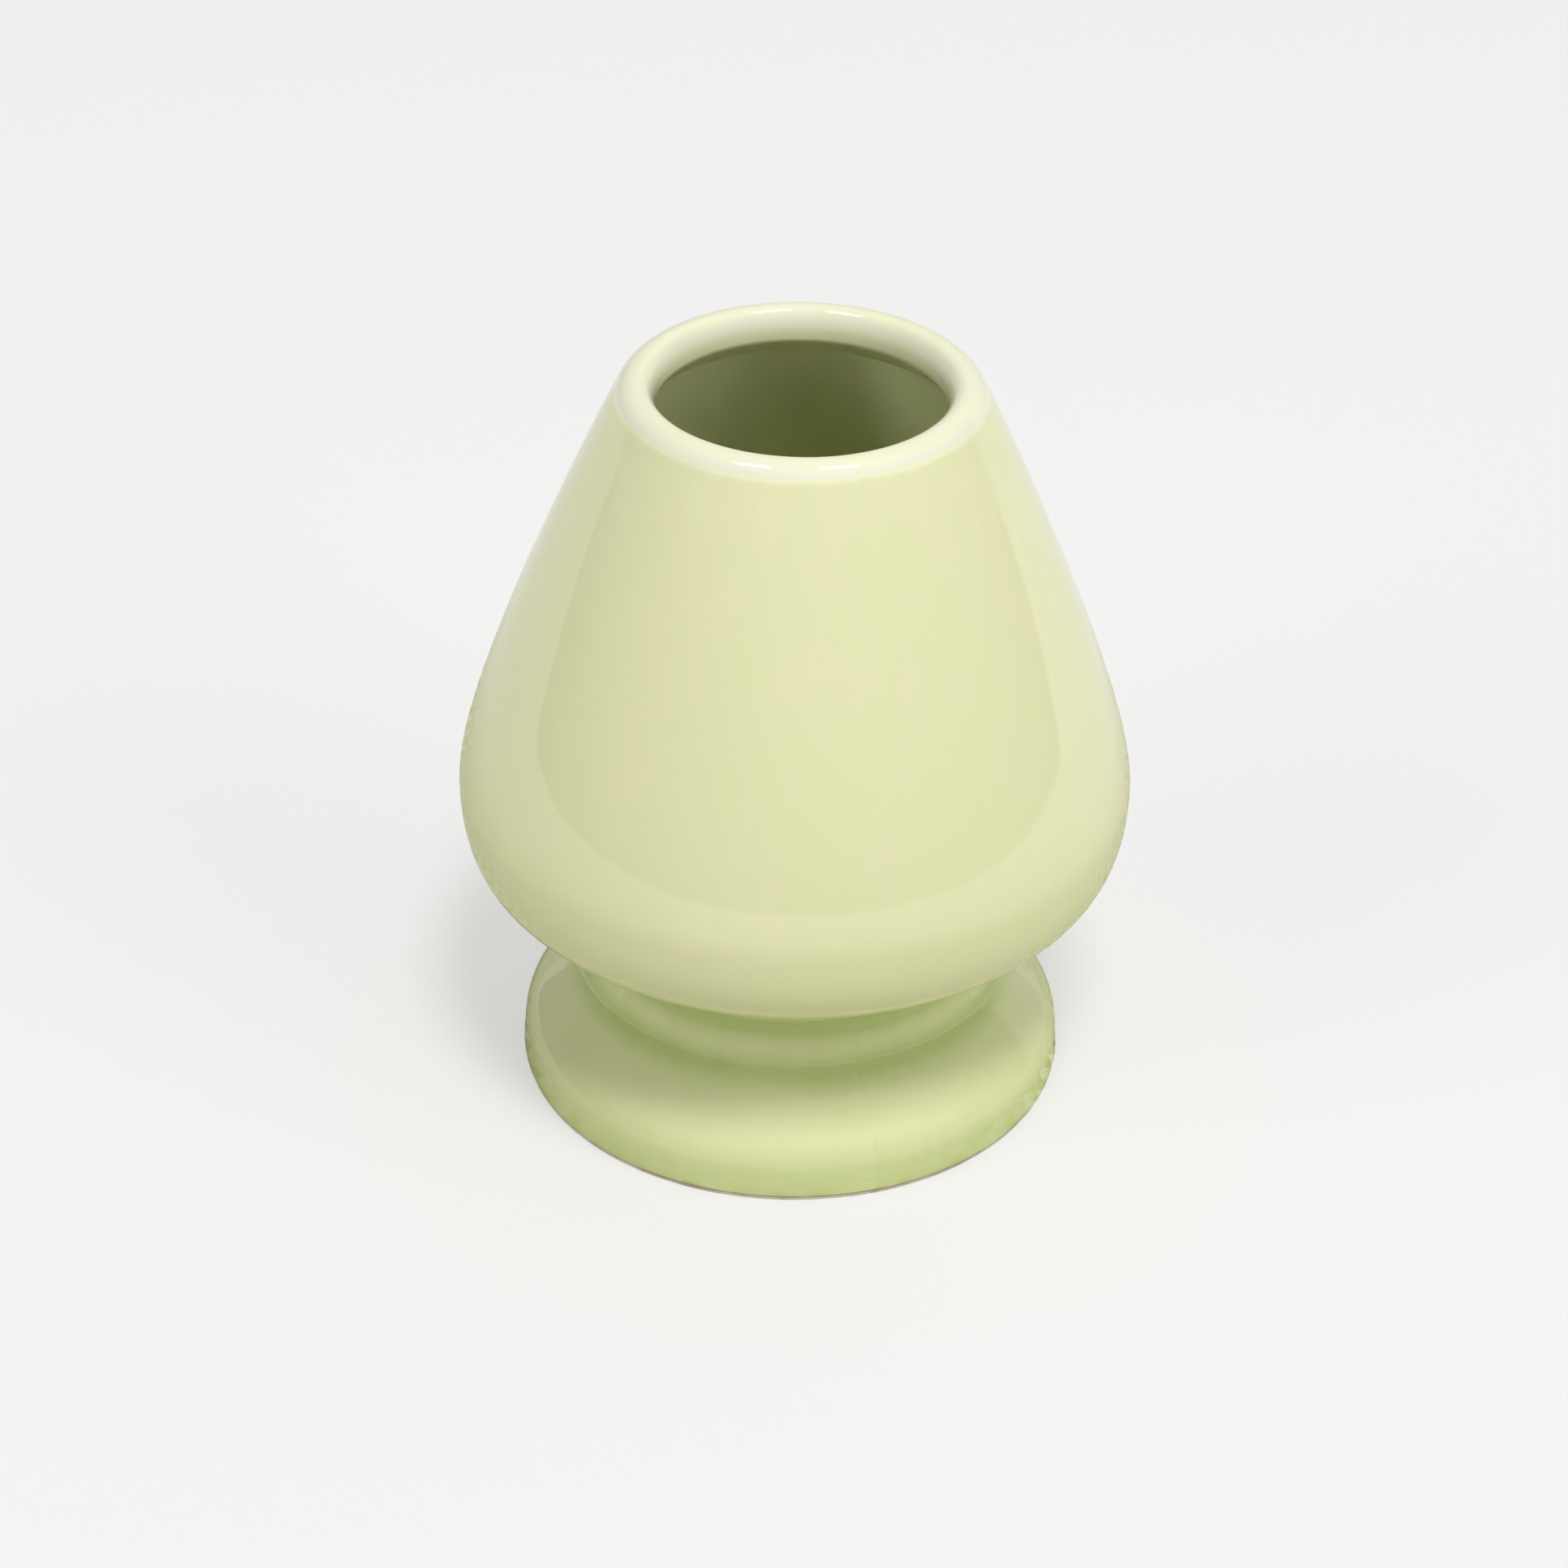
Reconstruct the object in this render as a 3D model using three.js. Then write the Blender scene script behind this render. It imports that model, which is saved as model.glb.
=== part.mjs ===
// Ceramic holder for a bamboo tea whisk: a hollow bulb with a mouth on top, a waist and a foot.
// Millimetres, +Z up, foot ring on z = 0. The two pieces are the clay body and its glaze coat.
import * as THREE from 'three';

// Overall shape, measured on the glazed surface
const HEIGHT = 69.1;
const BELLY_RADIUS = 30.1;
const BELLY_HEIGHT = 29.75;
const FOOT_RADIUS = 24.85;

// Foot and waist: three corners, each rounded to its own radius
const SHOULDER = new THREE.Vector2(24.55, 4.5);
const SHOULDER_ROUNDING = 4.2;
const COVE = new THREE.Vector2(18.95, 9.9);
const COVE_ROUNDING = 3.5;
const WAIST = new THREE.Vector2(18.4, 14.8);
const WAIST_ROUNDING = 3;

// Belly: it leaves the waist at a slant, turns upright at its widest and leans in to the lip
const UNDERSIDE = new THREE.Vector2(21, 17.3);
const UNDERSIDE_SLOPE = THREE.MathUtils.degToRad(44.8);
const UNDERSIDE_FULLNESS = 7.1;
const LOWER_BELLY_FULLNESS = 9.1;
const UPPER_BELLY_FULLNESS = 6;
const SIDE_FULLNESS = 8.9;
const LIP_LEAN = THREE.MathUtils.degToRad(26.9);

// Lip: its crown lies nearer the mouth than the outside, and a short collar hangs inside it
const CROWN_RADIUS = 14.08;
const LIP_OUTER_ROUNDING = 2.04;
const LIP_INNER_ROUNDING = 1.2;
const THROAT_ROUNDING = 2.4;
const THROAT_TURN = THREE.MathUtils.degToRad(40);
const COLLAR_BOTTOM = 66.25;
const COLLAR_ROUNDING = 0.8;
const UNDERCUT_TOP = 64.5;
const UNDERCUT_ROUNDING = 1;

// Wall, floor and drain hole
const WALL = 3.05;
const FLOOR_TOP = 4.8;
const FLOOR_UNDERSIDE = 2;
const FLOOR_ROUNDING = 1.1;
const DRAIN_RADIUS = 4;
const DRAIN_ROUNDING = 0.8;
const RECESS_RADIUS = 20;
const RECESS_FLARE = 0.4;
const RECESS_ROUNDING = 1;

// Glaze, and the bare clay ring under it
const GLAZE = 0.35;
const GLAZE_GAP = 0.15;
const GLAZE_EDGE = 0.65;
const RING_TOP = 0.4;
const RING_CHAMFER = 0.2;
const RING_INSET = 0.15;

// Fineness of the facets
const FACETS = 32;
const LONGEST_STEP = 3.6;
const LARGEST_TURN = THREE.MathUtils.degToRad(20);
const SAME_POINT = 1e-4;

function leftOf(direction) {
  return new THREE.Vector2(-direction.y, direction.x);
}

function polar(length, angle) {
  return new THREE.Vector2(length * Math.cos(angle), length * Math.sin(angle));
}

// Goes straight towards a corner and leaves it towards the next point, round an arc.
function roundCorner(path, corner, next, radius) {
  const arriving = corner.clone().sub(path.currentPoint).normalize();
  const leaving = next.clone().sub(corner).normalize();
  const turn = Math.atan2(arriving.cross(leaving), arriving.dot(leaving));
  const setback = radius * Math.tan(Math.abs(turn) / 2);
  const start = corner.clone().addScaledVector(arriving, -setback);
  const centre = start.clone().addScaledVector(leftOf(arriving), Math.sign(turn) * radius);
  const startAngle = start.clone().sub(centre).angle();
  path.lineTo(start.x, start.y);
  path.absarc(centre.x, centre.y, radius, startAngle, startAngle + turn, turn < 0);
}

function stepsAlong(curve) {
  const turn = curve.getTangent(0).angleTo(curve.getTangent(1));
  const wholeTurns = Math.ceil(turn / LARGEST_TURN - SAME_POINT);
  return curve.isLineCurve ? 1 : Math.max(wholeTurns, Math.ceil(curve.getLength() / LONGEST_STEP));
}

// Points along a path, each with the direction that faces away from the clay.
function surfaceAlong(path) {
  const surface = [];
  for (const curve of path.curves) {
    const steps = stepsAlong(curve);
    for (let step = 0; step <= steps; step += 1) {
      const at = curve.getPoint(step / steps);
      const last = surface.at(-1);
      if (!last || last.at.distanceTo(at) > SAME_POINT) {
        const outward = leftOf(curve.getTangent(step / steps)).negate();
        surface.push({ at, outward });
      }
    }
  }
  return surface;
}

// The same surface at a depth below itself.
function beneath(surface, depth) {
  return surface.map(({ at, outward }) => at.clone().addScaledVector(outward, -depth));
}

// Outside of the foot, from the edge of the glaze up to the shoulder.
function footSurface() {
  const path = new THREE.Path();
  path.moveTo(FOOT_RADIUS, GLAZE_EDGE);
  roundCorner(path, SHOULDER, COVE, SHOULDER_ROUNDING);
  return surfaceAlong(path);
}

// Outside of the waist and the belly, up to the lip.
function sideSurface(footTop) {
  const path = new THREE.Path();
  path.moveTo(footTop.x, footTop.y);
  roundCorner(path, COVE, WAIST, COVE_ROUNDING);
  roundCorner(path, WAIST, UNDERSIDE, WAIST_ROUNDING);
  path.lineTo(UNDERSIDE.x, UNDERSIDE.y);

  const leavingWaist = UNDERSIDE.clone().add(polar(UNDERSIDE_FULLNESS, UNDERSIDE_SLOPE));
  path.bezierCurveTo(
    leavingWaist.x, leavingWaist.y,
    BELLY_RADIUS, BELLY_HEIGHT - LOWER_BELLY_FULLNESS,
    BELLY_RADIUS, BELLY_HEIGHT,
  );

  const lipEdge = new THREE.Vector2(CROWN_RADIUS, HEIGHT - LIP_OUTER_ROUNDING)
    .add(polar(LIP_OUTER_ROUNDING, LIP_LEAN));
  const reachingLip = lipEdge.clone().addScaledVector(leftOf(polar(1, LIP_LEAN)), -SIDE_FULLNESS);
  path.bezierCurveTo(
    BELLY_RADIUS, BELLY_HEIGHT + UPPER_BELLY_FULLNESS,
    reachingLip.x, reachingLip.y,
    lipEdge.x, lipEdge.y,
  );
  return surfaceAlong(path);
}

// Over the lip, down the collar and back under it to the wall.
function lipSurface(insideTop) {
  const path = new THREE.Path();
  const crown = new THREE.Vector2(CROWN_RADIUS, HEIGHT);
  const inner = crown.clone().sub(new THREE.Vector2(0, LIP_INNER_ROUNDING));
  const throat = inner.clone().add(polar(THROAT_ROUNDING - LIP_INNER_ROUNDING, -THROAT_TURN));
  const collarFoot = new THREE.Vector2(throat.x - THROAT_ROUNDING, COLLAR_BOTTOM);
  const upWall = leftOf(insideTop.outward).negate();
  const rise = (UNDERCUT_TOP - insideTop.at.y) / upWall.y;
  const undercut = insideTop.at.clone().addScaledVector(upWall, rise);
  const top = Math.PI / 2;
  const joint = Math.PI - THROAT_TURN;
  path.absarc(crown.x, crown.y - LIP_OUTER_ROUNDING, LIP_OUTER_ROUNDING, LIP_LEAN, top, false);
  path.absarc(inner.x, inner.y, LIP_INNER_ROUNDING, top, joint, false);
  path.absarc(throat.x, throat.y, THROAT_ROUNDING, joint, Math.PI, false);
  roundCorner(path, collarFoot, undercut, COLLAR_ROUNDING);
  roundCorner(path, undercut, insideTop.at, UNDERCUT_ROUNDING);
  return surfaceAlong(path);
}

// Inside of the wall: a wall's thickness in from the outside, from under the lip to the floor.
function insideSurface(side) {
  const inside = side.map(({ at, outward }) => ({
    at: at.clone().addScaledVector(outward, -WALL),
    outward: outward.clone().negate(),
  }));
  const wallTop = UNDERCUT_TOP - UNDERCUT_ROUNDING;
  return inside.filter(({ at }) => at.y > FLOOR_TOP && at.y < wallTop).reverse();
}

// Floor inside, drain hole, underside and inner face of the foot ring.
function baseSurface(insideFoot) {
  const downSlope = SHOULDER.clone().sub(COVE).normalize();
  const reach = (FLOOR_TOP - insideFoot.y) / downSlope.y;
  const floorCorner = insideFoot.clone().addScaledVector(downSlope, reach);
  const drainTop = new THREE.Vector2(DRAIN_RADIUS, FLOOR_TOP);
  const drainBottom = new THREE.Vector2(DRAIN_RADIUS, FLOOR_UNDERSIDE);
  const recessCorner = new THREE.Vector2(RECESS_RADIUS, FLOOR_UNDERSIDE);
  const glazeEnd = new THREE.Vector2(RECESS_RADIUS + RECESS_FLARE, GLAZE_EDGE);

  const path = new THREE.Path();
  path.moveTo(insideFoot.x, insideFoot.y);
  roundCorner(path, floorCorner, drainTop, FLOOR_ROUNDING);
  roundCorner(path, drainTop, drainBottom, DRAIN_ROUNDING);
  roundCorner(path, drainBottom, recessCorner, DRAIN_ROUNDING);
  roundCorner(path, recessCorner, glazeEnd, RECESS_ROUNDING);
  path.lineTo(glazeEnd.x, glazeEnd.y);
  return surfaceAlong(path);
}

// The whole glazed surface, from the outer edge of the foot ring round to its inner edge.
function glazedSurface() {
  const foot = footSurface();
  const side = sideSurface(foot.at(-1).at);
  const inside = insideSurface(side);
  const base = baseSurface(inside.at(-1).at);
  const whole = [...foot, ...side, ...lipSurface(inside[0]), ...inside, ...base];
  return whole.filter(({ at }, i) => i === 0 || at.distanceTo(whole[i - 1].at) > SAME_POINT);
}

function turned(name, outline, material) {
  const closed = [...outline, outline[0].clone()];
  const mesh = new THREE.Mesh(new THREE.LatheGeometry(closed, FACETS), material);
  mesh.name = name;
  mesh.rotation.x = Math.PI / 2;
  return mesh;
}

function makeGlazeCoat(surface) {
  const outline = [...beneath(surface, 0), ...beneath(surface, GLAZE).reverse()];
  const material = new THREE.MeshStandardMaterial({ color: 0xdde3b8, roughness: 0.12, metalness: 0 });
  return turned('glaze_coat', outline, material);
}

function makeCeramicBody(surface) {
  const skin = beneath(surface, GLAZE + GLAZE_GAP);
  const innerEdge = skin.at(-1);
  const outerEdge = skin[0];
  const ringRadius = FOOT_RADIUS - RING_INSET;
  const footRing = [
    new THREE.Vector2(innerEdge.x, RING_CHAMFER),
    new THREE.Vector2(innerEdge.x + RING_CHAMFER, 0),
    new THREE.Vector2(ringRadius - RING_CHAMFER, 0),
    new THREE.Vector2(ringRadius, RING_CHAMFER),
    new THREE.Vector2(ringRadius, RING_TOP),
    new THREE.Vector2(outerEdge.x, RING_TOP),
  ];
  const material = new THREE.MeshStandardMaterial({ color: 0xe6dcc8, roughness: 0.9, metalness: 0 });
  return turned('ceramic_body', [...skin, ...footRing], material);
}

const surface = glazedSurface();
const group = new THREE.Group();
group.add(makeCeramicBody(surface), makeGlazeCoat(surface));

export default group;
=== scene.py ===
"""Ceramic holder for a bamboo tea whisk: its looks, a plain studio and the camera.

The two pieces are turned from the same section as the CAD part. The section is in millimetres
and everything that Blender gets is in metres. Azimuth 0 is the front (-Y) and 90 is +X.
"""
import math

import bpy
import numpy as np
from mathutils import Matrix, Vector


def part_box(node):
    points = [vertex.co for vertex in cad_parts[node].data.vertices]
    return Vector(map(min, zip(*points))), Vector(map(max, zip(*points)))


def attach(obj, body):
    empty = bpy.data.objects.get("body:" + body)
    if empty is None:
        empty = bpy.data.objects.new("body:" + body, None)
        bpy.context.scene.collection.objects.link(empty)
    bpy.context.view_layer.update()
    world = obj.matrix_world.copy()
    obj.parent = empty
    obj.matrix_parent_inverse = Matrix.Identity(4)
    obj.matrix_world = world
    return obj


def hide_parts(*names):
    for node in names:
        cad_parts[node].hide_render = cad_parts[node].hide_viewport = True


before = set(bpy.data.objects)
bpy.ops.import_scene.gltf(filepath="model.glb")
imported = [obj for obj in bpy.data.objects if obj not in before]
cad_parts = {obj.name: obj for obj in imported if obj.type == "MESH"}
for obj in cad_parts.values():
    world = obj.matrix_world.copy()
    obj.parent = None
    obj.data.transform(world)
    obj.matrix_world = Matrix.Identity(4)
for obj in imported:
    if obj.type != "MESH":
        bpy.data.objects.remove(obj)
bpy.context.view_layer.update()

MM = 0.001

# Camera: where it stands from the holder's axis, and how it is turned
CAMERA_DISTANCE = 0.3205
CAMERA_HEIGHT = 0.2374
CAMERA_PITCH = math.radians(33.15)
CAMERA_YAW = math.radians(-0.17)
CAMERA_ROLL = math.radians(0.96)
CAMERA_LENS = 97.6
CLIP_START = 0.01
CLIP_END = 20

# Section, on the glazed surface: foot and waist corners with their roundings
FOOT_RADIUS = 24.85
SHOULDER = (24.55, 4.5)
SHOULDER_ROUNDING = 4.2
COVE = (18.95, 9.9)
COVE_ROUNDING = 3.5
WAIST = (18.4, 14.8)
WAIST_ROUNDING = 3

# Section: belly curves, lip, wall and base
UNDERSIDE = (21, 17.3)
UNDERSIDE_SLOPE = math.radians(44.8)
UNDERSIDE_FULLNESS = 7.1
BELLY_HEIGHT = 29.75
LOWER_BELLY_FULLNESS = 9.1
UPPER_BELLY_FULLNESS = 6
SIDE_FULLNESS = 8.9
LIP_LEAN = math.radians(26.9)
CROWN_RADIUS = 14.08
LIP_OUTER_ROUNDING = 2.04
LIP_INNER_ROUNDING = 1.2
THROAT_ROUNDING = 2.4
THROAT_TURN = math.radians(40)
COLLAR_BOTTOM = 66.25
COLLAR_ROUNDING = 0.8
UNDERCUT_TOP = 64.5
UNDERCUT_ROUNDING = 1
WALL = 3.05
FLOOR_TOP = 4.8
FLOOR_UNDERSIDE = 2
FLOOR_ROUNDING = 1.1
DRAIN_RADIUS = 4
DRAIN_ROUNDING = 0.8
RECESS_RADIUS = 20
RECESS_FLARE = 0.4
RECESS_ROUNDING = 1

# Glaze and clay
GLAZE = 0.35
GLAZE_EDGE = 0.65
CLAY_GAP = 0.03
RING_TOP = 0.4
RING_INSET = 0.15
RING_ROUNDING = 0.2

# Fineness of the turned meshes
FINE_STEP = 0.7
COARSE_STEP = 1.6
FINE_TURN = math.radians(6)
COARSE_TURN = math.radians(14)
SAME_POINT = 1e-3
AZIMUTHS = 252
BEAD_STEPS = 6

# Mould seams down the side: where, in degrees, and how far the mesh is finer round them
SEAM_AZIMUTHS = (19, 199)
SEAM_HALF_WIDTH = 0.9
SEAM_SHARPNESS = 1.5
SEAM_FINE_STEP = 0.3
SEAM_FINE_STEPS = 8
SEAM_CLEARANCE = 2.6
SEAM_RIDGE = 0.01
SEAM_POOLING = 0.06

# Unevenness of the hand-finished surface, in mm: an oval, and ripples. Each ripple has its
# waves round the circle, its twist per mm of height, its start and its share
OVAL_DEPTH = 0.04
OVAL_START = 0.9
RIPPLE_DEPTH = 0.009
RIPPLES = (
    (3, 1 / 9, 0, 1),
    (5, -1 / 6, 1.7, 1),
    (8, 1 / 4.3, 0.4, 0.7),
    (13, -1 / 3.1, 0, 0.5),
)

# Depth of colour in the glaze: deeper in hollows and low on the foot, paler on the lip, with a
# creamy line round its outer edge. In the hollows and low on the foot the deepening is partly
# pooled glaze and partly painted shade, with painted reflection of the table on the foot; the
# darker inside is painted shade and the paler collar is painted light. Heights are in mm and
# bends are per mm
GLAZE_POOLING = 0.46
LOW_POOLING = 0.12
# Foot band: partly pooled glaze, partly painted shade and painted reflection of the table
FOOT_POOLING_AND_SHADE = 0.3
# Hollows: partly pooled glaze, partly painted shade in the waist and cove
HOLLOW_POOLING_AND_SHADE = 1.7
LIP_LINE_THINNING = 0.2
BEND_REACH = 1.1
SHARPEST_EDGE = 0.42
SHARPEST_HOLLOW = 0.3
LIP_THIN_FROM = 67.4
LIP_THIN_OVER = 0.9
LIP_THINNING = 0.62
LIP_LINE_HEIGHT = 68.3
LIP_LINE_WIDTH = 0.3
FOOT_BAND_HEIGHT = 6
# Painted shade: the inside below the collar is made darker
INSIDE_PAINTED_SHADE = 0.08
# Painted light: the collar inside the lip is made paler
COLLAR_PAINTED_LIGHT = 0.16
COLLAR_BLEND = 0.6
OUTWARD_AT_LEAST = 0.05
UPWARD_AT_LEAST = 0.5

# Glaze's look: tints from thin to deep, then noise by size in mm and share of the depth
GLAZE_TINTS = (
    (0.00, (0.88, 0.82, 0.68)),
    (0.12, (0.85, 0.85, 0.66)),
    (0.30, (0.88, 0.88, 0.60)),
    (0.45, (0.79, 0.79, 0.485)),
    (0.62, (0.745, 0.785, 0.44)),
    (0.85, (0.64, 0.72, 0.34)),
    (1.00, (0.54, 0.64, 0.26)),
)
SPECK_TINT = (0.28, 0.27, 0.08)
PALE_TINT = (0.92, 0.92, 0.74)
GLAZE_ROUGHNESS = 0.045
GLAZE_IOR = 1.5
ROUGHNESS_SPREAD = 0.05
CLOUD_SIZE = 14
CLOUD_SHARE = 0.16
MOTTLE_SIZE = 2.2
MOTTLE_SHARE = 0.07
GRAIN_SIZE = 0.45
GRAIN_SHARE = 0.05
RUN_SIZE = 2.6
RUN_SHARE = 0.12
RUN_STRETCH = (1, 1, 0.05)
DARK_CELL = 7.5
DARK_SIZE = 0.2
DARK_KEPT = 0.35
DARK_COVER = 0.55
PALE_CELL = 4.3
PALE_SIZE = 0.16
PALE_KEPT = 0.3
PALE_COVER = 0.35
PALE_STRETCH = (1.1, 0.9, 1.05)
PEEL_SIZE = 2.8
PEEL_STRENGTH = 0.35
PEEL_DEPTH = 0.03
SPECK_PIT = -0.4

# Bare clay's look
CLAY_TINTS = (
    (0.20, (0.50, 0.42, 0.32)),
    (0.50, (0.70, 0.62, 0.50)),
    (0.80, (0.82, 0.76, 0.65)),
)
IRON_TINT = (0.25, 0.16, 0.09)
CLAY_ROUGHNESS = 0.88
CLAY_GRAIN_SIZE = 0.3
CLAY_GRAIN_SHARE = 0.7
CLAY_CLOUD_SIZE = 6
CLAY_MIDDLE_TONE = 0.5
IRON_CELL = 2.1
IRON_SIZE = 0.16
IRON_KEPT = 0.4
IRON_COVER = 0.6
CLAY_BUMP_STRENGTH = 0.6
CLAY_BUMP_DEPTH = 0.08

# Table, and the tea powder that shows only in bounced light (in metres)
TABLE_TINT = (0.9, 0.9, 0.895)
SEEN_TINT = (0.4, 0.4, 0.398)
TABLE_EVENNESS = 0.545
TABLE_HALF_WIDTH = 2.5
POWDER_CENTRE = (-0.012, -0.012)
POWDER_FULL = 0.085
POWDER_END = 0.125
POWDER_COVER = 0.52
POWDER_TINT = (0.33, 0.31, 0.03)
POWDER_CLUMP = 1.6
POWDER_CONTRAST = 5
TABLE_ROUGHNESS = 0.9

# World: levels, and where each region lies (sideways angle from the front, height as a sine)
LIGHT_LEVEL = 0.385
LIGHT_FROM_RIGHT = 0.13
LEFT_SHADE = 0.11
BACKDROP_LEVEL = 0.9
WINDOW_LEVEL = 0.15
WINDOW_SIDE = (math.radians(32), math.radians(44))
WINDOW_TOP = (math.sin(math.radians(42)), math.sin(math.radians(50)))
WALL_LEVEL = 0.3
WALL_SIDE = (math.radians(100), math.radians(122))
WALL_TOP = (math.sin(math.radians(13)), math.sin(math.radians(20)))
BOX_LEVEL = 2.2
BOX_SIDE = (math.radians(72), math.radians(84))
BACK_LEVEL = 1.35
BACK_SIDE = (math.radians(112), math.radians(124))

# Key lamp, high in front
KEY_PLACE = (0.16, -0.61, 1.40)
KEY_TARGET = (0, 0, 0.04)
KEY_SIZE = 0.32
KEY_WATTS = 11.6

# Cards that only reflections see: the unlit room round the table, and two strips overhead
ROOM_CENTRE = (-0.02, -0.08)
ROOM_RADIUS = 0.285
ROOM_SIDE = 115
ROOM_REACH = 165
ROOM_TOP = 0.46
ROOM_TINT = (0.06, 0.06, 0.06)
ROOM_STEPS = 120
ROOM_CURVE = 1.5
STRIP_HEIGHT = 0.6
STRIP_STRENGTH = 18
LEFT_STRIP = ((-0.21, -0.10), (-0.095, 0.0))
RIGHT_STRIP = ((0.055, -0.08), (0.18, 0.02))


# ---------- section ----------

def vec(point):
    return Vector((point[0], point[1]))


def polar(length, angle):
    return Vector((math.cos(angle), math.sin(angle))) * length


def left_of(direction):
    return Vector((-direction.y, direction.x))


class Section:
    """A line of straight stretches, arcs and curves, kept as points with their outward side."""

    def __init__(self, start, step, turn):
        self.end = vec(start)
        self.step = step
        self.turn = turn
        self.points = []
        self.outward = []

    def add(self, point, direction):
        if not self.points or (point - self.points[-1]).length > SAME_POINT:
            self.points.append(point)
            self.outward.append(-left_of(direction.normalized()))
        self.end = point

    def line(self, to):
        start, to = self.end.copy(), vec(to)
        direction = to - start
        steps = max(1, math.ceil(direction.length / self.step))
        for i in range(steps + 1):
            self.add(start.lerp(to, i / steps), direction)

    def arc(self, centre, radius, start, turn):
        steps = max(2, math.ceil(abs(turn) / self.turn), math.ceil(radius * abs(turn) / self.step))
        for i in range(steps + 1):
            spoke = polar(1, start + turn * i / steps)
            self.add(vec(centre) + spoke * radius, left_of(spoke) * math.copysign(1, turn))

    def corner(self, corner, towards, radius):
        """Straight towards a corner, then round it to face the next point."""
        corner = vec(corner)
        arriving = (corner - self.end).normalized()
        leaving = (vec(towards) - corner).normalized()
        turn = math.atan2(arriving.x * leaving.y - arriving.y * leaving.x, arriving.dot(leaving))
        start = corner - arriving * radius * math.tan(abs(turn) / 2)
        centre = start + left_of(arriving) * math.copysign(radius, turn)
        spoke = start - centre
        self.line(start)
        self.arc(centre, radius, math.atan2(spoke.y, spoke.x), turn)

    def curve(self, control_1, control_2, to):
        p0, p1, p2, p3 = self.end.copy(), vec(control_1), vec(control_2), vec(to)
        length = (p1 - p0).length + (p2 - p1).length + (p3 - p2).length
        steps = math.ceil(length / self.step)
        for i in range(steps + 1):
            t = i / steps
            u = 1 - t
            point = p0 * u ** 3 + p1 * 3 * u * u * t + p2 * 3 * u * t * t + p3 * t ** 3
            slope = (p1 - p0) * u * u + (p2 - p1) * 2 * u * t + (p3 - p2) * t * t
            self.add(point, slope)

    def beneath(self, depth):
        return [point - side * depth for point, side in zip(self.points, self.outward)]


def glazed_section(height, belly_radius, step, turn):
    """The glazed surface from the outer edge of the foot ring, over the lip, to its inner edge."""
    section = Section((FOOT_RADIUS, GLAZE_EDGE), step, turn)
    section.corner(SHOULDER, COVE, SHOULDER_ROUNDING)
    side_start = len(section.points)
    section.corner(COVE, WAIST, COVE_ROUNDING)
    section.corner(WAIST, UNDERSIDE, WAIST_ROUNDING)
    section.line(UNDERSIDE)

    widest = Vector((belly_radius, BELLY_HEIGHT))
    upright = Vector((0, 1))
    leaving_waist = vec(UNDERSIDE) + polar(UNDERSIDE_FULLNESS, UNDERSIDE_SLOPE)
    section.curve(leaving_waist, widest - upright * LOWER_BELLY_FULLNESS, widest)
    outer_centre = Vector((CROWN_RADIUS, height - LIP_OUTER_ROUNDING))
    lip_edge = outer_centre + polar(LIP_OUTER_ROUNDING, LIP_LEAN)
    reaching_lip = lip_edge - left_of(polar(1, LIP_LEAN)) * SIDE_FULLNESS
    section.curve(widest + upright * UPPER_BELLY_FULLNESS, reaching_lip, lip_edge)
    side = list(zip(section.points, section.outward))[side_start:]

    top = math.pi / 2
    inner_centre = Vector((CROWN_RADIUS, height - LIP_INNER_ROUNDING))
    throat_centre = inner_centre + polar(THROAT_ROUNDING - LIP_INNER_ROUNDING, -THROAT_TURN)
    section.arc(outer_centre, LIP_OUTER_ROUNDING, LIP_LEAN, top - LIP_LEAN)
    section.arc(inner_centre, LIP_INNER_ROUNDING, top, top - THROAT_TURN)
    section.arc(throat_centre, THROAT_ROUNDING, math.pi - THROAT_TURN, THROAT_TURN)

    inside = [(point - outward * WALL, -outward) for point, outward in reversed(side)]
    wall_end = UNDERCUT_TOP - UNDERCUT_ROUNDING
    inside = [(point, facing) for point, facing in inside if FLOOR_TOP < point.y < wall_end]
    wall_top, facing = inside[0]
    up_wall = -left_of(facing)
    undercut = wall_top + up_wall * ((UNDERCUT_TOP - wall_top.y) / up_wall.y)
    section.corner((section.end.x, COLLAR_BOTTOM), undercut, COLLAR_ROUNDING)
    section.corner(undercut, wall_top, UNDERCUT_ROUNDING)
    for point, facing in inside:
        section.add(point, left_of(facing))

    down_slope = (vec(SHOULDER) - vec(COVE)).normalized()
    floor_corner = section.end + down_slope * ((FLOOR_TOP - section.end.y) / down_slope.y)
    drain_top = (DRAIN_RADIUS, FLOOR_TOP)
    drain_bottom = (DRAIN_RADIUS, FLOOR_UNDERSIDE)
    recess_corner = (RECESS_RADIUS, FLOOR_UNDERSIDE)
    glaze_end = (RECESS_RADIUS + RECESS_FLARE, GLAZE_EDGE)
    section.corner(floor_corner, drain_top, FLOOR_ROUNDING)
    section.corner(drain_top, drain_bottom, DRAIN_ROUNDING)
    section.corner(drain_bottom, recess_corner, DRAIN_ROUNDING)
    section.corner(recess_corner, glaze_end, RECESS_ROUNDING)
    section.line(glaze_end)
    return section


# ---------- turned meshes ----------

def azimuth_list():
    """Even azimuths, with finer ones where a mould seam runs down the side."""
    even = [360 * i / AZIMUTHS for i in range(AZIMUTHS)]
    offsets = range(-SEAM_FINE_STEPS, SEAM_FINE_STEPS + 1)
    fine = [seam + offset * SEAM_FINE_STEP for seam in SEAM_AZIMUTHS for offset in offsets]
    kept = [a for a in even if all(abs(a - seam) > SEAM_CLEARANCE for seam in SEAM_AZIMUTHS)]
    return np.radians(sorted(kept + fine))


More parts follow.
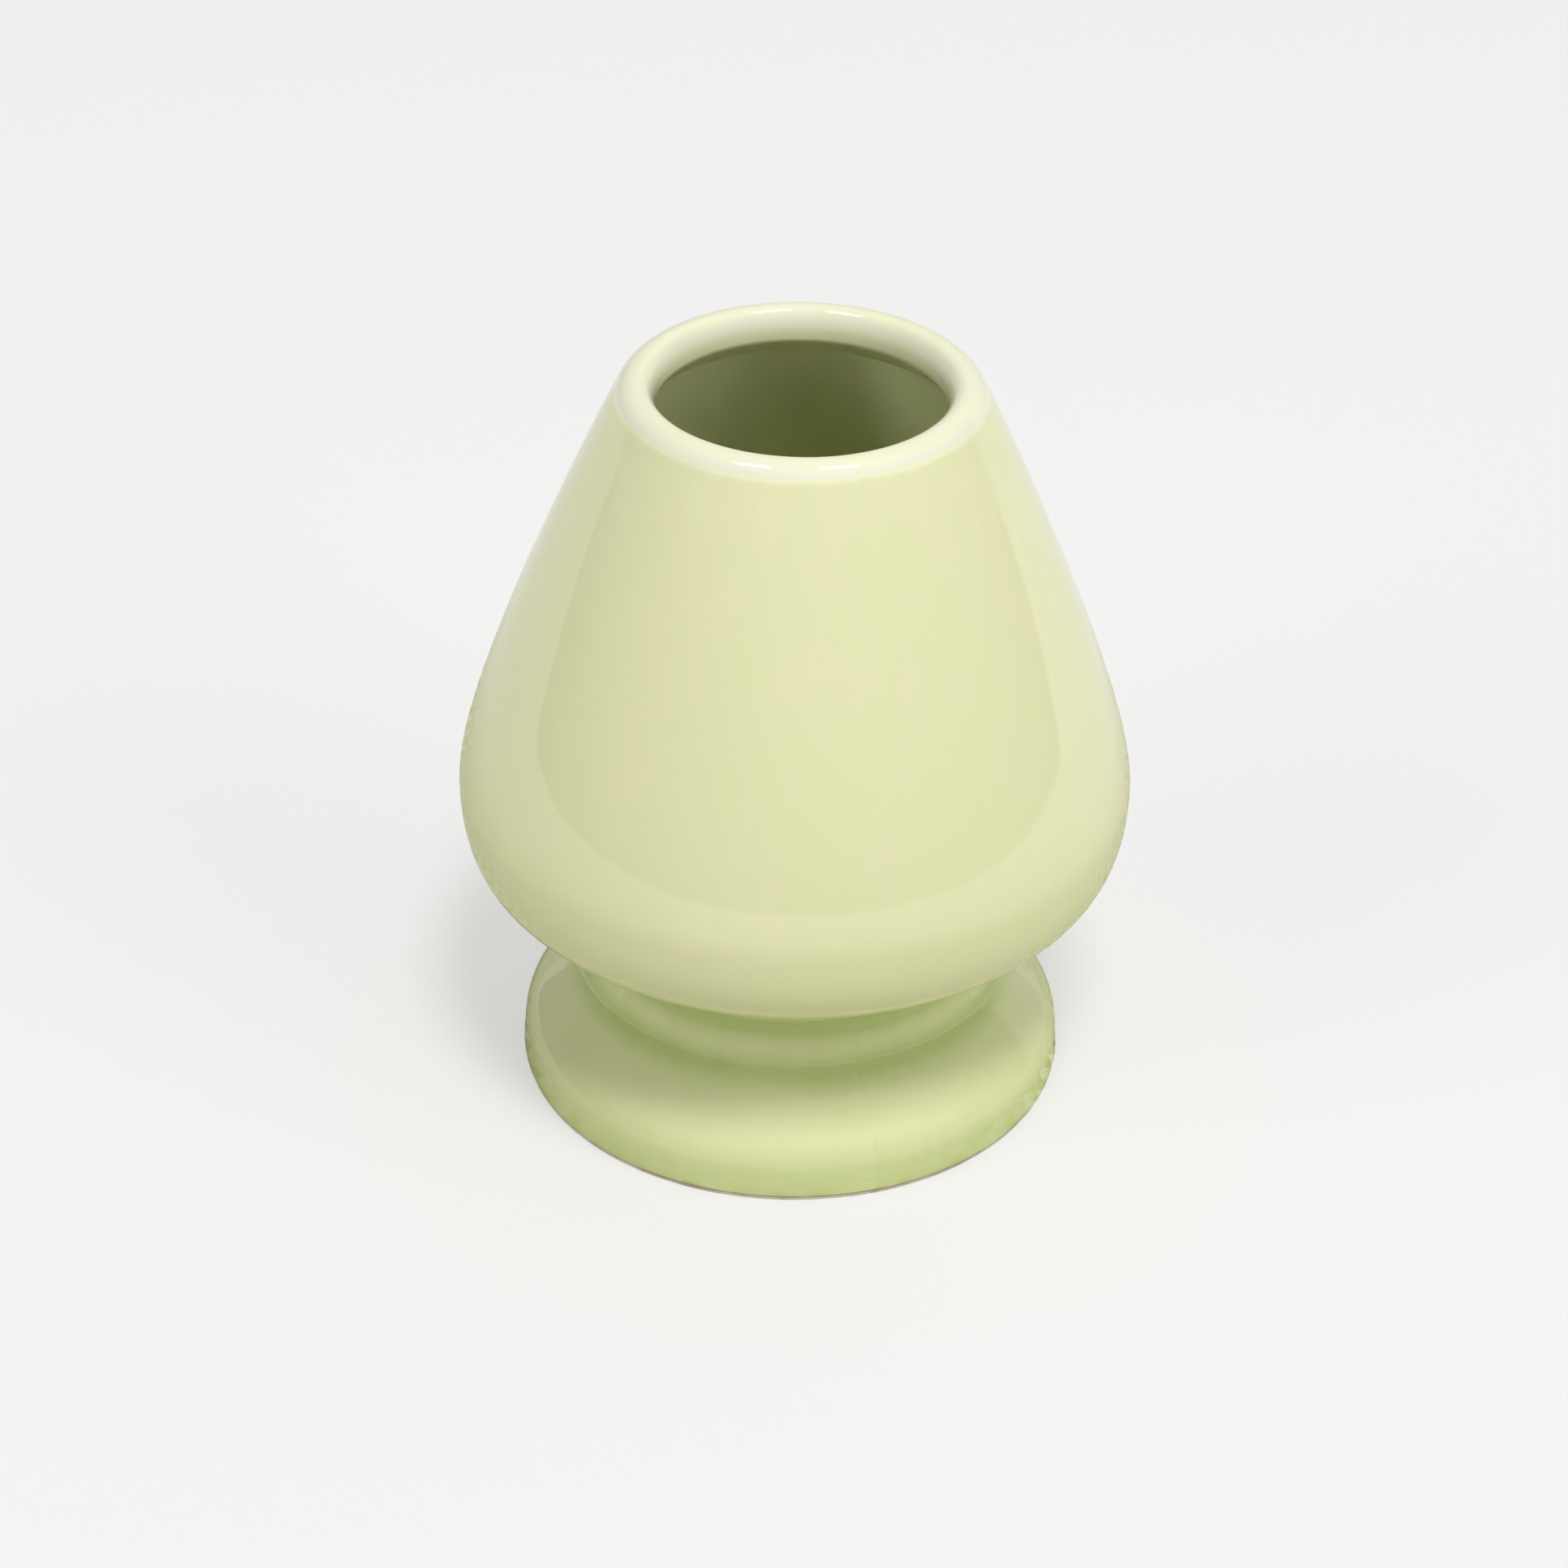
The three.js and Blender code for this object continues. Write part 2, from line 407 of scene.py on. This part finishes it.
def surface_dip(azimuth, height):
    """How far the hand-finished surface lies inside its true circle, in mm, 0 or more."""
    oval = OVAL_DEPTH * (1 + np.cos(2 * azimuth - OVAL_START)) / 2
    ripple = sum(share for _, _, _, share in RIPPLES)
    for waves, twist, start, share in RIPPLES:
        ripple = ripple + share * np.sin(waves * azimuth + twist * height + start)
    return oval + RIPPLE_DEPTH * ripple


def seam_line(azimuth):
    """1 on a mould seam's line, falling to 0 at its sides."""
    nearest = np.full_like(azimuth, 360.0)
    for seam in SEAM_AZIMUTHS:
        away = np.degrees(np.angle(np.exp(1j * (azimuth - math.radians(seam)))))
        nearest = np.minimum(nearest, np.abs(away))
    return np.clip(1 - nearest / SEAM_HALF_WIDTH, 0, 1) ** SEAM_SHARPNESS


def turn(name, rows, heights, dips, values):
    """A closed mesh of revolution. values holds one number per row and azimuth, for the glaze."""
    azimuths = azimuth_list()
    count, around = len(rows), len(azimuths)
    radius = np.array(rows)[:, None] - dips(azimuths[None, :], np.array(heights)[:, None])
    x = radius * np.sin(azimuths)
    y = -radius * np.cos(azimuths)
    z = np.repeat(np.array(heights)[:, None], around, 1)
    vertices = np.stack([x, y, z], -1).reshape(-1, 3) * MM

    row, col = np.meshgrid(np.arange(count), np.arange(around), indexing="ij")
    below, beside = (row + 1) % count, (col + 1) % around
    faces = np.stack(
        [row * around + col, row * around + beside, below * around + beside, below * around + col],
        -1,
    ).reshape(-1, 4)
    mesh = bpy.data.meshes.new(name)
    mesh.from_pydata(vertices.tolist(), [], faces.tolist())
    mesh.shade_smooth()
    for attribute, grid in values.items():
        layer = mesh.attributes.new(attribute, "FLOAT", "POINT")
        layer.data.foreach_set("value", np.asarray(grid, np.float32).reshape(-1))
    piece = bpy.data.objects.new(name, mesh)
    bpy.context.scene.collection.objects.link(piece)
    return piece


def smoothed_bend(section, reach):
    """How sharply the surface bends at each point, per mm, averaged over a reach.

    An edge that stands out is positive and a hollow is negative.
    """
    points = np.array([tuple(p) for p in section.points])
    outward = np.array([tuple(o) for o in section.outward])
    along = np.concatenate([[0], np.cumsum(np.hypot(*np.diff(points, axis=0).T))])
    angle = np.unwrap(np.arctan2(outward[:, 1], outward[:, 0]))
    bend = np.gradient(angle, along)
    weight = np.exp(-((along[:, None] - along[None, :]) / reach) ** 2)
    share = np.gradient(along)
    weight = weight * share
    return (weight * bend).sum(1) / weight.sum(1)


def bead_rows(face, end, sign):
    """The rounded edge of the glaze at one end of its face, from the face to the hidden side."""
    bead = GLAZE / 2
    outward = face.outward[end]
    centre = face.points[end] - outward * bead
    start = math.atan2(outward.y, outward.x)
    return [
        centre + polar(bead, start + sign * math.pi * step / BEAD_STEPS)
        for step in range(1, BEAD_STEPS)
    ]


def glaze_pooling_and_painted_light(face, height):
    """How deep the glaze's colour is at each point of its face, before noise, with painted shade
    in hollows, on the foot and inside, and painted light on the collar.
    """
    bend = smoothed_bend(face, BEND_REACH)
    at = np.array([point.y for point in face.points])
    out = np.array([outward.x for outward in face.outward])
    up = np.array([outward.y for outward in face.outward])
    outside = (out > OUTWARD_AT_LEAST) | (up > UPWARD_AT_LEAST)

    lip = np.clip((at - LIP_THIN_FROM) / LIP_THIN_OVER, 0, 1) * np.clip(bend, 0, SHARPEST_EDGE)
    lip_line = np.exp(-(((at - LIP_LINE_HEIGHT) / LIP_LINE_WIDTH) ** 2)) * (out > 0)
    # Painted shade in the hollows, on top of the glaze pooled there
    hollow = np.clip(-bend, 0, SHARPEST_HOLLOW) * outside
    # Low on the foot: pooled glaze with painted shade and painted reflection of the table
    low = np.clip(1 - at / FOOT_BAND_HEIGHT, 0, 1) * outside
    # The collar inside the lip gets painted light, paler than its glaze
    collar = np.clip((at - COLLAR_BOTTOM) / COLLAR_BLEND, 0, 1)
    # Inside below the collar: painted shade, darker
    inside = INSIDE_PAINTED_SHADE * (1 - collar) - COLLAR_PAINTED_LIGHT * collar

    pooling_and_painted_light = GLAZE_POOLING + LOW_POOLING * (1 - at / height) - LIP_THINNING * lip
    pooling_and_painted_light += FOOT_POOLING_AND_SHADE * low + HOLLOW_POOLING_AND_SHADE * hollow - LIP_LINE_THINNING * lip_line
    return pooling_and_painted_light + np.where(outside, 0, inside), outside


def make_glaze(height, belly_radius):
    """The glaze skin: its shining face, a rounded bead at each end and its hidden face."""
    face = glazed_section(height, belly_radius, FINE_STEP, FINE_TURN)
    coarse = glazed_section(height, belly_radius, COARSE_STEP, COARSE_TURN)
    hidden = coarse.beneath(GLAZE)[1:-1]
    inner_bead = bead_rows(face, -1, 1)
    outer_bead = bead_rows(face, 0, -1)
    rows = face.points + inner_bead + hidden[::-1] + outer_bead[::-1]

    pooling_and_painted_light, outside = glaze_pooling_and_painted_light(face, height)
    hidden_rows = len(rows) - len(face.points)
    pooling_and_painted_light = np.concatenate([pooling_and_painted_light, np.full(hidden_rows, pooling_and_painted_light[-1])])
    seamed = np.concatenate([outside, np.zeros(hidden_rows, bool)])[:, None]
    line = seam_line(azimuth_list())
    values = {"pooling_and_painted_light": pooling_and_painted_light[:, None] + SEAM_POOLING * line * seamed}

    def dips(azimuth, at):
        return surface_dip(azimuth, at) - SEAM_RIDGE * seamed * line

    radii = [point.x for point in rows]
    heights = [point.y for point in rows]
    return turn("celadon_glaze_coat", radii, heights, dips, values)


def make_clay(height, belly_radius):
    """The fired clay under the glaze, bare and slightly rounded at the foot ring."""
    skin = glazed_section(height, belly_radius, COARSE_STEP, COARSE_TURN)
    rows = skin.beneath(GLAZE + CLAY_GAP)
    inner, outer, ring_radius = rows[-1].x, rows[0].x, FOOT_RADIUS - RING_INSET
    ring = Section(rows[-1], FINE_STEP, FINE_TURN)
    ring.corner((inner, 0), (ring_radius, 0), RING_ROUNDING)
    ring.corner((ring_radius, 0), (ring_radius, RING_TOP), RING_ROUNDING)
    ring.line((ring_radius, RING_TOP))
    ring.line((outer, RING_TOP))
    rows += ring.points[1:]
    return turn("fired_clay_body", [p.x for p in rows], [p.y for p in rows], surface_dip, {})


# ---------- materials ----------

def new_material(name):
    material = bpy.data.materials.new(name)
    material.use_nodes = True
    return material, material.node_tree


def node(tree, kind, inputs=None, **settings):
    """Adds a node, sets its properties, and fills its inputs with values or other outputs."""
    made = tree.nodes.new(kind)
    for key, value in settings.items():
        setattr(made, key, value)
    for key, value in (inputs or {}).items():
        if isinstance(value, bpy.types.NodeSocket):
            tree.links.new(value, made.inputs[key])
        else:
            made.inputs[key].default_value = value
    return made


def calc(tree, operation, *values):
    return node(tree, "ShaderNodeMath", dict(enumerate(values)), operation=operation).outputs[0]


def noise(tree, place, size_mm, detail=2.0, roughness=0.5):
    """Noise about 0, with features of about the given size."""
    made = node(
        tree,
        "ShaderNodeTexNoise",
        {"Vector": place, "Scale": 1 / (size_mm * MM), "Detail": detail, "Roughness": roughness},
    )
    return calc(tree, "SUBTRACT", made.outputs["Fac"], 0.5)


def stretched(tree, place, scale):
    return node(tree, "ShaderNodeMapping", {"Vector": place, "Scale": scale}).outputs[0]


def specks(tree, place, cell_mm, size_mm, share):
    """1 inside tiny specks: one in each cell, kept for only a share of the cells."""
    cells = node(
        tree,
        "ShaderNodeTexVoronoi",
        {"Vector": place, "Scale": 1 / (cell_mm * MM), "Randomness": 1.0},
    )
    near = node(
        tree,
        "ShaderNodeMapRange",
        {"Value": cells.outputs["Distance"], "From Min": size_mm / cell_mm, "From Max": 0.0},
    )
    colour = node(tree, "ShaderNodeSeparateColor", {"Color": cells.outputs["Color"]})
    chosen = calc(tree, "LESS_THAN", colour.outputs[0], share)
    return calc(tree, "MULTIPLY", near.outputs[0], chosen)


def ramp(tree, factor, stops):
    made = node(tree, "ShaderNodeValToRGB", {"Fac": factor})
    elements = made.color_ramp.elements
    while len(elements) < len(stops):
        elements.new(0.5)
    for element, (position, colour) in zip(elements, stops):
        element.position = position
        element.color = (*colour, 1)
    return made.outputs[0]


def tinted(tree, factor, under, over):
    made = node(
        tree,
        "ShaderNodeMix",
        {"Factor": factor, 6: under, 7: (*over, 1)},
        data_type="RGBA",
    )
    return made.outputs[2]


def bump(tree, height, strength, depth_mm):
    made = node(
        tree,
        "ShaderNodeBump",
        {"Height": height, "Strength": strength, "Distance": depth_mm * MM},
    )
    return made.outputs[0]


def celadon_glaze():
    """Pale green glass: creamy where it thins on edges and greener where it pools, with painted
    shade and painted light carried in its depth.
    """
    material, tree = new_material("celadon_glaze")
    shader = tree.nodes["Principled BSDF"]
    place = node(tree, "ShaderNodeTexCoord").outputs["Object"]
    pooling_and_painted_light = node(tree, "ShaderNodeAttribute", attribute_name="pooling_and_painted_light").outputs["Fac"]

    clouds = noise(tree, place, CLOUD_SIZE, 3)
    mottle = noise(tree, place, MOTTLE_SIZE, 3, 0.6)
    grain = noise(tree, place, GRAIN_SIZE, 1)
    runs = noise(tree, stretched(tree, place, RUN_STRETCH), RUN_SIZE, 2)
    depth = calc(tree, "MULTIPLY_ADD", clouds, CLOUD_SHARE, pooling_and_painted_light)
    depth = calc(tree, "MULTIPLY_ADD", mottle, MOTTLE_SHARE, depth)
    depth = calc(tree, "MULTIPLY_ADD", grain, GRAIN_SHARE, depth)
    depth = calc(tree, "MULTIPLY_ADD", runs, RUN_SHARE, depth)
    colour = ramp(tree, depth, GLAZE_TINTS)
    dark_specks = specks(tree, place, DARK_CELL, DARK_SIZE, DARK_KEPT)
    colour = tinted(tree, calc(tree, "MULTIPLY", dark_specks, DARK_COVER), colour, SPECK_TINT)
    pale_place = stretched(tree, place, PALE_STRETCH)
    pale_specks = specks(tree, pale_place, PALE_CELL, PALE_SIZE, PALE_KEPT)
    colour = tinted(tree, calc(tree, "MULTIPLY", pale_specks, PALE_COVER), colour, PALE_TINT)
    tree.links.new(colour, shader.inputs["Base Color"])

    roughness = calc(tree, "MULTIPLY_ADD", mottle, ROUGHNESS_SPREAD, GLAZE_ROUGHNESS)
    tree.links.new(roughness, shader.inputs["Roughness"])
    ripples = noise(tree, place, PEEL_SIZE, 2)
    peel = calc(tree, "MULTIPLY_ADD", dark_specks, SPECK_PIT, ripples)
    tree.links.new(bump(tree, peel, PEEL_STRENGTH, PEEL_DEPTH), shader.inputs["Normal"])
    shader.inputs["IOR"].default_value = GLAZE_IOR
    return material


def bare_clay():
    """Fine sandy fired clay, a little darker in its pores."""
    material, tree = new_material("bare_clay")
    shader = tree.nodes["Principled BSDF"]
    place = node(tree, "ShaderNodeTexCoord").outputs["Object"]
    grain = noise(tree, place, CLAY_GRAIN_SIZE, 4, 0.65)
    cloud = noise(tree, place, CLAY_CLOUD_SIZE, 3)
    tone = calc(tree, "MULTIPLY_ADD", grain, CLAY_GRAIN_SHARE, CLAY_MIDDLE_TONE)
    colour = ramp(tree, calc(tree, "ADD", tone, cloud), CLAY_TINTS)
    iron = specks(tree, place, IRON_CELL, IRON_SIZE, IRON_KEPT)
    colour = tinted(tree, calc(tree, "MULTIPLY", iron, IRON_COVER), colour, IRON_TINT)
    tree.links.new(colour, shader.inputs["Base Color"])
    pits = bump(tree, grain, CLAY_BUMP_STRENGTH, CLAY_BUMP_DEPTH)
    tree.links.new(pits, shader.inputs["Normal"])
    shader.inputs["Roughness"].default_value = CLAY_ROUGHNESS
    return material


# ---------- studio ----------

def link_mesh(name, vertices, faces, material):
    mesh = bpy.data.meshes.new(name)
    mesh.from_pydata(vertices, [], faces)
    mesh.materials.append(material)
    made = bpy.data.objects.new(name, mesh)
    bpy.context.scene.collection.objects.link(made)
    return made


def glow(name, colour, strength):
    material, tree = new_material(name)
    shader = tree.nodes["Principled BSDF"]
    shader.inputs["Base Color"].default_value = (0, 0, 0, 1)
    shader.inputs["Specular IOR Level"].default_value = 0
    shader.inputs["Emission Color"].default_value = (*colour, 1)
    shader.inputs["Emission Strength"].default_value = strength
    return material


def only_in_reflections(card):
    card.visible_camera = False
    card.visible_diffuse = False
    card.visible_transmission = False
    card.visible_shadow = False
    card.visible_volume_scatter = False


def make_floor():
    """A wide pale table. Only in bounced light does it carry green tea powder round the holder."""
    material, tree = new_material("pale_table")
    shader = tree.nodes["Principled BSDF"]
    place = node(tree, "ShaderNodeTexCoord").outputs["Object"]
    offset = node(
        tree,
        "ShaderNodeVectorMath",
        {0: place, 1: (*POWDER_CENTRE, 0)},
        operation="SUBTRACT",
    ).outputs[0]
    away = node(tree, "ShaderNodeVectorMath", {0: offset}, operation="LENGTH").outputs["Value"]
    cover = node(
        tree,
        "ShaderNodeMapRange",
        {"Value": away, "From Min": POWDER_END, "From Max": POWDER_FULL},
    ).outputs[0]
    heaps = noise(tree, place, POWDER_CLUMP, 3, 0.7)
    clumps = calc(tree, "MULTIPLY_ADD", heaps, POWDER_CONTRAST, POWDER_COVER)
    clumps = node(tree, "ShaderNodeClamp", {"Value": clumps}).outputs[0]
    seen = node(tree, "ShaderNodeLightPath").outputs["Is Camera Ray"]
    unseen = calc(tree, "SUBTRACT", 1, seen)
    powder = calc(tree, "MULTIPLY", calc(tree, "MULTIPLY", cover, clumps), unseen)
    bare = node(
        tree,
        "ShaderNodeMix",
        {0: unseen, 6: (*SEEN_TINT, 1), 7: (*TABLE_TINT, 1)},
        data_type="RGBA",
    )
    colour = tinted(tree, powder, bare.outputs[2], POWDER_TINT)
    tree.links.new(colour, shader.inputs["Base Color"])
    shader.inputs["Emission Color"].default_value = (*TABLE_TINT, 1)
    shine = calc(tree, "MULTIPLY", seen, TABLE_EVENNESS)
    tree.links.new(shine, shader.inputs["Emission Strength"])
    shader.inputs["Roughness"].default_value = TABLE_ROUGHNESS
    shader.inputs["Specular IOR Level"].default_value = 0
    half = TABLE_HALF_WIDTH
    corners = [(-half, -half, 0), (half, -half, 0), (half, half, 0), (-half, half, 0)]
    link_mesh("table", corners, [(0, 1, 2, 3)], material)


def make_room_card():
    """The unlit room round the front of the table, which the glaze reflects as a darker panel."""
    vertices, faces = [], []
    for i in range(ROOM_STEPS + 1):
        angle = math.radians(-ROOM_REACH + 2 * ROOM_REACH * i / ROOM_STEPS)
        x = ROOM_CENTRE[0] + ROOM_RADIUS * math.sin(angle)
        y = ROOM_CENTRE[1] - ROOM_RADIUS * math.cos(angle)
        past_side = max(0, abs(math.degrees(angle)) - ROOM_SIDE)
        bottom = ROOM_TOP * (past_side / (ROOM_REACH - ROOM_SIDE)) ** ROOM_CURVE
        vertices += [(x, y, bottom + MM), (x, y, ROOM_TOP + MM)]
        if i:
            faces.append((2 * i - 2, 2 * i, 2 * i + 1, 2 * i - 1))
    card = link_mesh("room_card", vertices, faces, glow("room", ROOM_TINT, 1))
    only_in_reflections(card)


def make_key():
    """A soft lamp high in front, a little to the right. The glaze doesn't mirror it."""
    data = bpy.data.lights.new("key", "AREA")
    data.size = KEY_SIZE
    data.energy = KEY_WATTS
    key = bpy.data.objects.new("key", data)
    bpy.context.scene.collection.objects.link(key)
    aim = (Vector(KEY_TARGET) - Vector(KEY_PLACE)).to_track_quat("-Z", "Y")
    key.matrix_world = Matrix.Translation(KEY_PLACE) @ aim.to_matrix().to_4x4()
    key.visible_glossy = False
    key.visible_camera = False


def make_strip(name, low, high):
    """A long lamp overhead, seen only as a highlight."""
    corners = [
        (low[0], low[1], STRIP_HEIGHT),
        (high[0], low[1], STRIP_HEIGHT),
        (high[0], high[1], STRIP_HEIGHT),
        (low[0], high[1], STRIP_HEIGHT),
    ]
    lamp = glow(name, (1, 1, 1), STRIP_STRENGTH)
    only_in_reflections(link_mesh(name, corners, [(0, 3, 2, 1)], lamp))


def fade(tree, value, ends):
    """1 below the first end, 0 above the second."""
    made = node(
        tree,
        "ShaderNodeMapRange",
        {"Value": value, "From Min": ends[1], "From Max": ends[0]},
        interpolation_type="SMOOTHSTEP",
    )
    return made.outputs[0]


def make_world():
    """Soft white light, stronger from the right and from behind, with low darker walls in front.

    Straight ahead is an unlit window, with a bright box on either side of it.
    """
    world = bpy.data.worlds.new("soft_studio")
    world.use_nodes = True
    bpy.context.scene.world = world
    tree = world.node_tree
    direction = node(tree, "ShaderNodeTexCoord").outputs["Generated"]
    side = node(tree, "ShaderNodeSeparateXYZ", {"Vector": direction})
    x, y, z = (side.outputs[axis] for axis in "XYZ")
    strength = calc(tree, "MULTIPLY_ADD", x, LIGHT_FROM_RIGHT, LIGHT_LEVEL)
    strength = calc(tree, "MULTIPLY_ADD", calc(tree, "MINIMUM", x, 0), LEFT_SHADE, strength)
    azimuth = calc(tree, "ABSOLUTE", calc(tree, "ARCTAN2", x, calc(tree, "MULTIPLY", y, -1)))
    under_top = fade(tree, z, WINDOW_TOP)
    low = fade(tree, z, WALL_TOP)
    in_window = fade(tree, azimuth, WINDOW_SIDE)
    window = calc(tree, "MULTIPLY", in_window, under_top)
    wall = calc(tree, "MULTIPLY", fade(tree, azimuth, WALL_SIDE), low)
    ahead = fade(tree, azimuth, BACK_SIDE)
    box = calc(tree, "MULTIPLY", fade(tree, azimuth, BOX_SIDE), under_top)
    box = calc(tree, "MULTIPLY", box, calc(tree, "SUBTRACT", 1, in_window))
    box = calc(tree, "MULTIPLY", box, calc(tree, "SUBTRACT", 1, low))
    for part, level in ((window, WINDOW_LEVEL), (wall, WALL_LEVEL), (ahead, 1 / BACK_LEVEL)):
        strength = calc(tree, "MULTIPLY", strength, calc(tree, "MULTIPLY_ADD", part, level - 1, 1))
    strength = calc(tree, "MULTIPLY", strength, BACK_LEVEL)
    strength = calc(tree, "MULTIPLY_ADD", box, BOX_LEVEL, strength)
    seen = node(tree, "ShaderNodeLightPath").outputs["Is Camera Ray"]
    level = node(tree, "ShaderNodeMix", {"Factor": seen, 2: strength, 3: BACKDROP_LEVEL})
    tree.links.new(level.outputs[0], tree.nodes["Background"].inputs["Strength"])
    tree.nodes["Background"].inputs["Color"].default_value = (1, 1, 1, 1)


def make_camera():
    data = bpy.data.cameras.new("camera")
    data.lens = CAMERA_LENS
    camera = bpy.data.objects.new("camera", data)
    bpy.context.scene.collection.objects.link(camera)
    ahead = Vector((
        math.sin(CAMERA_YAW) * math.cos(CAMERA_PITCH),
        math.cos(CAMERA_YAW) * math.cos(CAMERA_PITCH),
        -math.sin(CAMERA_PITCH),
    ))
    right = Vector((math.cos(CAMERA_YAW), -math.sin(CAMERA_YAW), 0))
    above = right.cross(ahead)
    rolled_right = right * math.cos(CAMERA_ROLL) + above * math.sin(CAMERA_ROLL)
    rolled_above = above * math.cos(CAMERA_ROLL) - right * math.sin(CAMERA_ROLL)
    turned = Matrix((rolled_right, rolled_above, -ahead)).transposed().to_4x4()
    camera.matrix_world = Matrix.Translation((0, -CAMERA_DISTANCE, CAMERA_HEIGHT)) @ turned
    data.clip_start = CLIP_START
    data.clip_end = CLIP_END
    bpy.context.scene.camera = camera


glaze_low, glaze_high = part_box("glaze_coat")
height = glaze_high.z / MM
belly_radius = glaze_high.x / MM

glaze = make_glaze(height, belly_radius)
glaze.data.materials.append(celadon_glaze())
clay = make_clay(height, belly_radius)
clay.data.materials.append(bare_clay())
for piece, cad_node, slot in (
    (glaze, "glaze_coat", "celadon_glaze"),
    (clay, "ceramic_body", "bare_clay"),
):
    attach(piece, "root")
    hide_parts(cad_node)

make_camera()
make_world()
make_key()
make_floor()
make_room_card()
make_strip("left_strip", *LEFT_STRIP)
make_strip("right_strip", *RIGHT_STRIP)
bpy.context.scene.view_settings.view_transform = "Standard"
